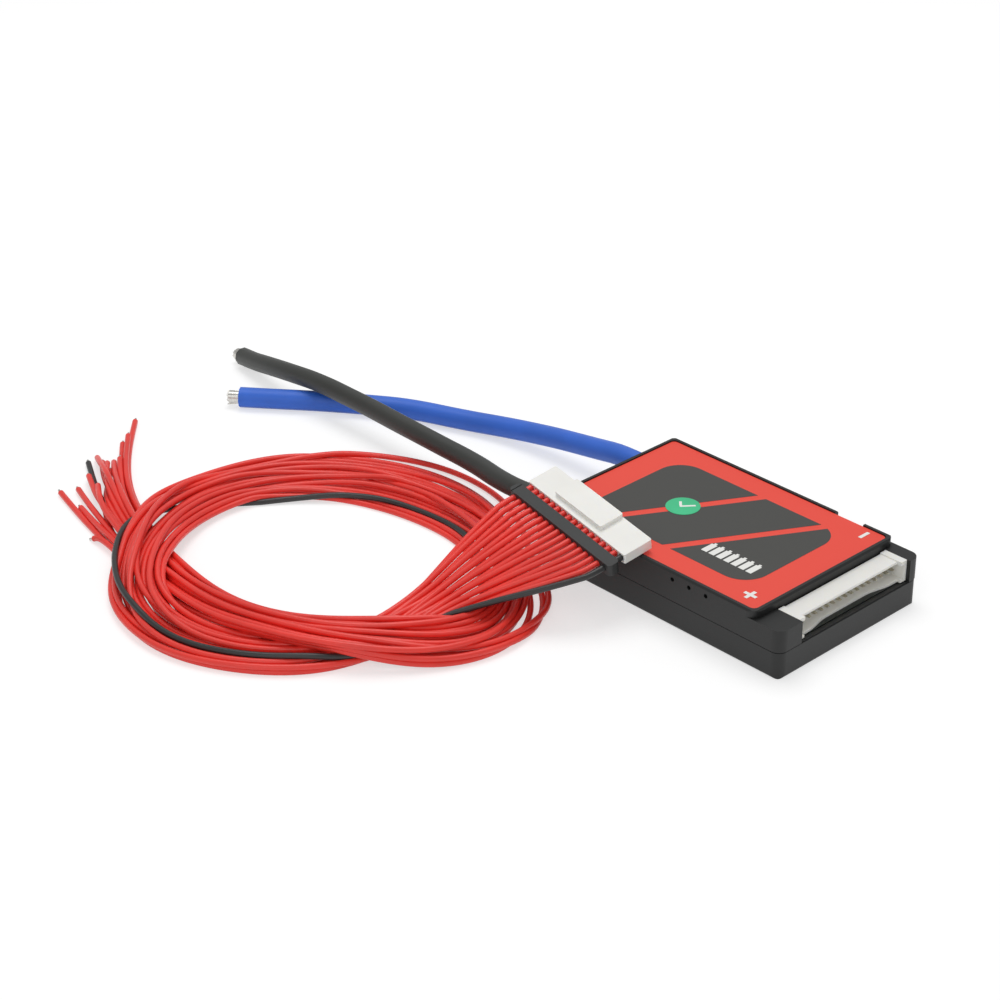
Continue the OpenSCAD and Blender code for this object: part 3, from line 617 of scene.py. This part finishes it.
class BOARD_OT_leads(bpy.types.Operator):
    """Makes the two silicone power leads and their bare ends"""

    bl_idname = "board.leads"
    bl_label = "Power leads"

    def strands(self, name, end, heading, material):
        """The fine strands of a cut conductor, laid round its core."""
        tree, inputs = geometry_group(
            "strand_bundle", Radius="Float", Gap="Float", Spread="Float", Seed="Int", Material="Material"
        )
        disc = add(tree, "GeometryNodeMeshCircle", {"Radius": inputs["Radius"]}, fill_type="NGON")
        dots = add(
            tree, "GeometryNodeDistributePointsOnFaces",
            {"Mesh": disc.outputs["Mesh"], "Distance Min": inputs["Gap"], "Seed": inputs["Seed"]},
            distribute_method="POISSON", in_Density_Max=4e6,
        )
        low = add(tree, "ShaderNodeMath", {0: inputs["Spread"]}, operation="MULTIPLY", in_1=-1.0)
        lean = [
            add(
                tree, "FunctionNodeRandomValue",
                {2: low.outputs[0], 3: inputs["Spread"], "Seed": inputs["Seed"]}, data_type="FLOAT", in_7=k,
            ).outputs[1]
            for k in (1, 2)
        ]
        turn = add(tree, "ShaderNodeCombineXYZ", {"X": lean[0], "Y": lean[1]})
        copies = add(
            tree, "GeometryNodeInstanceOnPoints",
            {"Points": dots.outputs["Points"], "Instance": inputs["Geometry"], "Rotation": turn.outputs[0]},
        )
        close_group(tree, copies.outputs["Instances"], inputs["Material"])
        bm = bmesh.new()
        bmesh.ops.create_cone(
            bm, cap_ends=True, segments=8, radius1=STRAND_RADIUS, radius2=STRAND_RADIUS,
            depth=STRAND_LENGTH, matrix=Matrix.Translation((0, 0, STRAND_CENTRE)),
        )
        one = bpy.data.meshes.new("one_strand")
        bm.to_mesh(one)
        bm.free()
        bundle = grown(f"{name}_strands", one, tree, {**BUNDLE, "Material": material})
        turned = Vector(heading).to_track_quat("Z", "Y").to_matrix().to_4x4()
        bundle.data.transform(Matrix.Translation(end) @ turned)
        return bundle

    def execute(self, context):
        strand = metal("tinned_copper_strand", "#D5D3CE", 0.3)
        for name, side, route, diameter, code in (
            ("blue", 18.0, BLUE_ROUTE, 6.6, "#2F6AD6"),
            ("black", -18.0, BLACK_ROUTE, 6.2, "#30322F"),
        ):
            # Silicone rubber insulation: satin, with a soft bloom of fine dust
            rubber = moulded(f"{name}_silicone_rubber", code, 0.48, 0.5, 0.01, sheen=0.15)
            points = [(LEAD_START, side, LEAD_Z)]
            points += [(CASE_END + out, side + across, up) for out, across, up in route]
            line = spline_through(np.array(points) * MM, 3 * MM)
            lead = curve_piece(f"{name}_power_lead", line, diameter * MM, rubber)
            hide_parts(f"{name}_lead")
            dress(f"{name}_conductor", strand)
            ends = self.strands(name, line[-1], line[-1] - line[-2], strand)
        return {"FINISHED"}


# ---- Balance harness --------------------------------------------------------------------


PLUG_AT = Vector((-26.2, -32.1, 18.8)) * MM
PLUG_TURN = Euler([math.radians(v) for v in (11, 6.5, -6.2)], "XYZ").to_matrix()
WIRE_RISE = 1.55 * MM  # height of the wires in the plug


def plug_point(u, v):
    """A point on the wires' plane, in the plug's own directions, as a point in the frame."""
    return np.array(PLUG_AT + PLUG_TURN @ Vector((u, v, WIRE_RISE)))


# The strand's route in travel order, in millimetres: place, width, and a level that
# says which stretch lies above which where the strand crosses itself
LOOP = [
    (-40.2, -80, 14.7, 0), (-40, -96.5, 14.9, 0), (-46.3, -111, 16.5, 0), (-60, -124.6, 15, 0),
    (-78.3, -132, 16.5, 0), (-95.5, -131, 14.5, 1), (-102.5, -129.2, 14.5, 2), (-109, -125, 15, 2),
    (-118.8, -113.7, 17, 2), (-129.2, -101, 17.2, 2), (-136.8, -84.5, 20, 2), (-136.6, -66.5, 23.5, 1),
    (-129.6, -50.5, 27, 1), (-116, -37.5, 29, 1), (-99.5, -29.8, 29, 1), (-80.9, -28.3, 26, 1),
    (-65, -31.2, 19, 1), (-53.8, -36.8, 14.5, 1), (-40, -45, 14, 1), (-28.8, -54, 15, 1),
    (-21.4, -66.5, 15, 1.5), (-22.2, -79.5, 16.4, 2), (-30.6, -92, 18, 2), (-44.1, -104, 16.5, 2),
    (-60.8, -112.6, 13, 1.5), (-79.6, -117, 11, 0.5), (-99, -115.8, 11, 0.5), (-116, -112.6, 13.2, 0.5),
    (-131, -109, 15.5, 0.5), (-143.5, -105.9, 18, 0.5),
]
WAYS = 17
BLACK = WAYS - 1
# Wires that leave their place in the strand: station and place, counted from its outer edge
WANDERERS = {
    BLACK: [
        (0, -0.2), (0.5, -0.2), (2.5, 4.6), (5.5, 4.2), (7, 1.7), (8.3, -1), (8.8, -1), (11.2, 17),
        (11.7, 17), (14.5, 14), (17, 14), (17.9, 17.3), (18.5, 17.3), (21, 9), (24, 9.5), (29, 7),
    ],
    4: [(0, 12), (3, 11.5), (8, 6.5), (11, 7), (17, 12), (20, 14.5), (24, 10.5), (29, 11)],
    8: [(0, 8), (5, 10), (9, 12.5), (12, 10), (18, 5), (21, 3), (24, 1), (27, 1.5), (29, 2.5)],
    11: [(0, 5), (4, 3), (8, 7), (11, 3), (15, -1.2), (18, -1), (22, 4), (25, 8), (29, 4)],
}
# Stretches where a wire runs free of the others: start, full, until, end, and how far out
FREE = {
    BLACK: [(7.6, 8.2, 8.9, 9.5, 1.0), (10.5, 11.2, 11.8, 12.8, -1.1), (17.2, 17.8, 18.6, 19.2, -1.6)],
    11: [(11.5, 13.8, 16, 18, 3.4)],
}
# Where the free ends lie, from the outside of the loop to the inside
TIPS = [
    (-140.6, -116), (-170.6, -107), (-158.6, -108), (-150.6, -104), (-168.6, -102), (-162.6, -99),
    (-171.6, -96), (-180.6, -90), (-171.6, -88), (-175.6, -87), (-178.6, -87), (-181.6, -86),
    (-175.6, -84), (-173.6, -83), (-183.6, -75), (-184.6, -72), (-193.6, -63),
]
BLACK_TIP = 7
# Which wire lies on top where the wires of one pass meet: the higher turn. The rest follow a rule
TURNS = {4: 3, 11: 3.1, 8: 3.2, BLACK: 0}
BLACK_ON_TOP = ((-2, 8.55), (11.5, 18.2))  # stations between which the black wire lies over the others
BLACK_TURN = 4
FAN_STATION = -1.0
TAIL_STATION, TAIL_LEVEL = 30.0, 0.5
FAN_LEVEL, LANDING_LEVEL = 3.0, 0.0
LANDING_Y = -75.5  # beyond this the fan comes down into the loop, in millimetres
ONE_PASS = 3  # stations: points nearer than this belong to one pass of the strand
BEND = 14  # points of one wire nearer than this along it never press on each other
PLUG_POINTS = 7  # points of each wire that the plug and the comb hold
CROSSING = 0.985  # how near wires come in plan before one lies on the other, in thicknesses
GIVE = 0.9  # the soft insulation gives a little where wires press


def ease(x):
    """A soft step from 0 to 1."""
    x = np.clip(x, 0, 1)
    return x * x * (3 - 2 * x)


def through_knots(t, knots):
    """A smooth curve through (station, value) pairs, level at each of them."""
    value = np.full_like(t, knots[0][1])
    for (a, low), (b, high) in zip(knots, knots[1:]):
        value = np.where(t >= a, low + (high - low) * ease((t - a) / (b - a)), value)
    return value


def rise(t, start, full, until, end):
    """Nought, then one between two stations, then nought again."""
    return ease((t - start) / (full - start)) * (1 - ease((t - until) / (end - until)))


def in_segments(points, a, b):
    """How far along its segment each point lies nearest, and the vector from there to it."""
    along = b - a
    share = ((points - a) * along).sum(-1) / np.maximum((along * along).sum(-1), 1e-9)
    share = np.clip(share, 0, 1)
    return share, points - (a + along * share[..., None])


class BOARD_OT_harness(bpy.types.Operator):
    """Lays the sampling wires in their loop and lets them settle"""

    bl_idname = "board.harness"
    bl_label = "Balance harness"

    def strand(self, step):
        """The strand's centre line with its width and level, and the station of each point."""
        rows = np.array(LOOP, float)
        rows = np.vstack([2 * rows[0] - rows[1], rows, 2 * rows[-1] - rows[-2]])
        line, station = [], []
        for j in range(1, len(rows) - 2):
            a, b, c, d = rows[j - 1 : j + 3]
            count = max(3, round(np.linalg.norm((c - b)[:2]) / step))
            t = np.linspace(0, 1, count, endpoint=False)[:, None]
            bend = 2 * a - 5 * b + 4 * c - d + t * (3 * b - a - 3 * c + d)
            line.append(b + 0.5 * t * (c - a + t * bend))
            station.append(j - 1 + t[:, 0])
        return np.vstack([*line, rows[-2:-1]]), np.append(np.concatenate(station), len(LOOP) - 1.0)

    def places(self, t):
        """Each wire's place across the strand, from 0 at the outer edge to 1."""
        chance = random.Random(5)
        keys = np.zeros((WAYS, len(t)))
        group = 1.5 * np.sin(2 * math.pi * t / 11 + 0.8)
        group = group * (1 - rise(t, 9.5, 12, 15, 17)) * rise(t, 0.2, 2.5, 27, 29)
        for i in range(WAYS):
            reach, phase = 0.5 + 0.3 * chance.random(), 2 * math.pi * chance.random()
            pace = 2 * math.pi / (7 + 5 * chance.random())
            keys[i] = BLACK - i + reach * (np.sin(phase + pace * t) - math.sin(phase) * (1 - ease(t / 2)))
            if (BLACK - i) % 2:
                keys[i] += group
        for i, knots in WANDERERS.items():
            keys[i] = through_knots(t, knots)
        apart = keys[:, None, :] - keys[None, :, :]
        return (1 / (1 + np.exp(-apart / 0.3))).sum(axis=1) / WAYS

    def routes(self, settings, step=2.4):
        """Each wire as rows of x, y, z, station and level, in millimetres."""
        thick = settings.wire_diameter / MM
        line, t = self.strand(step / 2)
        heading = np.gradient(line[:, :2], axis=0)
        heading /= np.linalg.norm(heading, axis=1)[:, None]
        outward = np.stack([-heading[:, 1], heading[:, 0]], axis=1)
        across = self.places(t)
        order = [i for i in np.argsort(across[:, -1]) if i != BLACK]
        order.insert(BLACK_TIP, BLACK)
        bulge = 5.0 * rise(t, 16.8, 18.8, 19.1, 20.9)
        routes = []
        for i in range(WAYS):
            out = (0.5 - across[i]) * line[:, 2] + bulge * (1 - ease(across[i] * WAYS / 3.6))
            for *span, reach in FREE.get(i, []):
                out = out + reach * rise(t, *span)
            loop = line[:, :2] + outward * out[:, None]
            u = (i - (WAYS - 1) / 2) * settings.pitch
            comb, ahead = (plug_point(u, v * MM) / MM for v in (-8.7, -23.7))
            low = 3.9 if i == BLACK else 0.95 + thick * ((BLACK - i) % 2)
            landing = np.array([*loop[0], low])
            back = landing - np.array([*heading[0], 0]) * 13 + np.array([0, 0, 4])
            s = np.linspace(0, 1, 28)[:-1, None]
            fan = (1 - s) ** 3 * comb + 3 * (1 - s) ** 2 * s * ahead
            fan = fan + 3 * (1 - s) * s**2 * back + s**3 * landing
            fan = np.vstack([[plug_point(u, v * MM) / MM for v in (2.4, -2, -6.2)], fan])
            tip = np.array(TIPS[order.index(i)], float)
            span = np.linalg.norm(tip - loop[-1])
            s = np.linspace(0, 1, max(4, int(span / 2)))[1:, None]
            lead = loop[-1] + heading[-1] * span * 0.35
            tail = (1 - s) ** 2 * loop[-1] + 2 * (1 - s) * s * lead + s**2 * tip
            rows = np.vstack([
                np.c_[
                    fan, np.full(len(fan), FAN_STATION),
                    np.where(fan[:, 1] > LANDING_Y, FAN_LEVEL, LANDING_LEVEL),
                ],
                np.c_[loop, np.full(len(loop), thick / 2), t, line[:, 3]],
                np.c_[tail, np.tile([thick / 2, TAIL_STATION, TAIL_LEVEL], (len(tail), 1))],
            ])
            routes.append(even(rows, step))
        return routes

    def stack(self, x, wire, thick, steps):
        """Lifts each wire over those it crosses and lets it sink onto them."""
        station, level = x[:, 3], x[:, 4]
        turn = np.array([1.0 + (BLACK - i) % 2 + 0.01 * (BLACK - i) for i in range(WAYS)])
        turn[list(TURNS)] = list(TURNS.values())
        turn = turn[wire]
        for start, end in BLACK_ON_TOP:
            turn[(wire == BLACK) & (station > start) & (station < end)] = BLACK_TURN
        held = station < FAN_STATION / 2
        starts = np.nonzero(wire[:-1] == wire[1:])[0]
        found = []
        reach = thick * CROSSING
        for first in range(0, len(x), 400):
            some = x[first : first + 400, None, :2]
            share, away = in_segments(some, x[starts, :2], x[starts + 1, :2])
            gap = np.linalg.norm(away, axis=-1)
            i, j = np.nonzero(gap < reach)
            share, gap, p, q = share[i, j], gap[i, j], i + first, starts[j]
            same = np.abs(station[p] - station[q]) < ONE_PASS
            above = np.where(same, turn[p] > turn[q], level[p] > level[q])
            above &= (wire[p] != wire[q]) | (np.abs(p - q) > BEND)
            found.append((p[above], q[above], share[above], np.sqrt(reach**2 - gap[above] ** 2)))
        p, q, share, lift = (np.concatenate(part) for part in zip(*found))
        z = x[:, 2].copy()
        fixed = z[held]
        inner = np.nonzero((wire[:-2] == wire[2:]) & ~held[1:-1])[0] + 1
        for _ in range(steps):
            floor = np.full(len(x), thick / 2)
            np.maximum.at(floor, p, z[q] * (1 - share) + z[q + 1] * share + lift)
            z[inner] += 0.45 * (0.5 * (z[inner - 1] + z[inner + 1]) - z[inner]) - 0.012
            z = np.maximum(z, floor)
            z[held] = fixed
        return np.c_[x[:, :2], z]

    def settle(self, x, wire, thick, steps):
        """Pushes wires that still touch apart and keeps them smooth."""
        first = np.searchsorted(wire, wire)
        held = np.arange(len(x)) - first < PLUG_POINTS
        inner = np.nonzero((wire[:-2] == wire[2:]) & ~held[1:-1])[0] + 1
        starts = np.nonzero(wire[:-1] == wire[1:])[0]
        home = x.copy()
        for step in range(steps):
            if step % 10 == 0:
                centre = (x[starts] + x[starts + 1]) / 2
                found = []
                for a in range(0, len(x), 500):
                    i, j = np.nonzero(((x[a : a + 500, None] - centre) ** 2).sum(-1) < (2.3 * thick) ** 2)
                    found.append((i + a, starts[j]))
                p, q = (np.concatenate(part) for part in zip(*found))
                apart = (wire[p] != wire[q]) | (np.abs(p - q) > BEND)
                p, q = p[apart], q[apart]
            share, away = in_segments(x[p], x[q], x[q + 1])
            length = np.linalg.norm(away, axis=1)
            hit = length < thick
            push = away[hit] * ((thick - length[hit]) / np.maximum(length[hit], 1e-6) / 2)[:, None]
            moved, count = np.zeros_like(x), np.zeros(len(x))
            for end, part in ((p[hit], 1.0), (q[hit], share[hit] - 1), (q[hit] + 1, -share[hit])):
                np.add.at(moved, end, push * np.reshape(part, (-1, 1)))
                np.add.at(count, end, np.abs(part))
            x = x + moved / np.maximum(count, 1)[:, None]
            x[inner] += 0.3 * (0.5 * (x[inner - 1] + x[inner + 1]) - x[inner])
            x[:, 2] = np.maximum(x[:, 2], thick / 2)
            x[held] = home[held]
        return x

    def tips(self, lines, material):
        """The stripped ends of the wires: a bare core on the end of each."""
        points = []
        for line in lines:
            heading = (line[-1] - line[-3]) / np.linalg.norm(line[-1] - line[-3])
            points += [(line[-1] - heading * 0.4) * MM, (line[-1] + heading * 1.6) * MM]
        mesh = bpy.data.meshes.new("wire_tips")
        mesh.from_pydata([tuple(p) for p in points], [(k, k + 1) for k in range(0, len(points), 2)], [])
        tree, inputs = geometry_group("bare_ends", Radius="Float", Material="Material")
        curve = add(tree, "GeometryNodeMeshToCurve", {"Mesh": inputs["Geometry"]})
        ring = add(tree, "GeometryNodeCurvePrimitiveCircle", {"Radius": inputs["Radius"]}, in_Resolution=10)
        rod = add(
            tree, "GeometryNodeCurveToMesh",
            {"Curve": curve.outputs["Curve"], "Profile Curve": ring.outputs["Curve"]}, in_Fill_Caps=True,
        )
        close_group(tree, rod.outputs["Mesh"], inputs["Material"])
        values = {"Radius": 0.4 * MM, "Material": material}
        return grown("bare_wire_ends", mesh, tree, values)

    def execute(self, context):
        settings = context.scene.board_harness
        thick = settings.wire_diameter
        # Extruded PVC insulation: smooth, softly glossy
        red = moulded("red_pvc_insulation", "#F03A30", 0.36, 0.8, 0.006, spread=0.06, ior=1.53)
        black = moulded("black_pvc_insulation", "#2B2B2B", 0.38, 0.8, 0.006, ior=1.53)
        routes = self.routes(settings)
        wire = np.repeat(np.arange(WAYS), [len(route) for route in routes])
        near = GIVE * thick / MM
        x = self.stack(np.vstack(routes), wire, near, settings.stacking_steps)
        x = self.settle(x, wire, near, settings.settle_steps)
        x[:, 2] += (1 - GIVE) / 2 * thick / MM
        lines = [x[wire == i] for i in range(WAYS)]
        for i, line in enumerate(lines):
            curve_piece(
                "black_sampling_wire" if i == BLACK else f"red_sampling_wire_{i + 1:02d}",
                line * MM, thick, black if i == BLACK else red,
            )
        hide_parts("fan_red_wires", "wire_coil", "tail_red_wires")
        ends = self.tips(lines, metal("tinned_wire_tip", "#D5D3CE", 0.3))
        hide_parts("wire_tips")
        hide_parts("fan_black_wire", "tail_black_wire")
        return {"FINISHED"}


# ---- Panel and registration ------------------------------------------------------------------


OPERATORS = (
    BOARD_OT_stage, BOARD_OT_leads, BOARD_OT_harness, BOARD_OT_case, BOARD_OT_face, BOARD_OT_inside,
    BOARD_OT_connectors,
)


class BOARD_PT_panel(bpy.types.Panel):
    """Buttons for each group of pieces"""

    bl_label = "Battery management board"
    bl_idname = "BOARD_PT_panel"
    bl_space_type = "VIEW_3D"
    bl_region_type = "UI"
    bl_category = "Board"

    def draw(self, context):
        for operator in OPERATORS:
            self.layout.operator(operator.bl_idname)
        for group in (context.scene.board_stage, context.scene.board_harness):
            for name in group.bl_rna.properties.keys():
                if name not in ("rna_type", "name"):
                    self.layout.prop(group, name)


CLASSES = (StageSettings, HarnessSettings, *OPERATORS, BOARD_PT_panel)


def register():
    for cls in CLASSES:
        bpy.utils.register_class(cls)
    bpy.types.Scene.board_stage = bpy.props.PointerProperty(type=StageSettings)
    bpy.types.Scene.board_harness = bpy.props.PointerProperty(type=HarnessSettings)


def unregister():
    del bpy.types.Scene.board_harness
    del bpy.types.Scene.board_stage
    for cls in reversed(CLASSES):
        bpy.utils.unregister_class(cls)


def main():
    register()
    for operator in OPERATORS:
        group, name = operator.bl_idname.split(".")
        getattr(getattr(bpy.ops, group), name)()


if __name__ == "__main__":
    main()
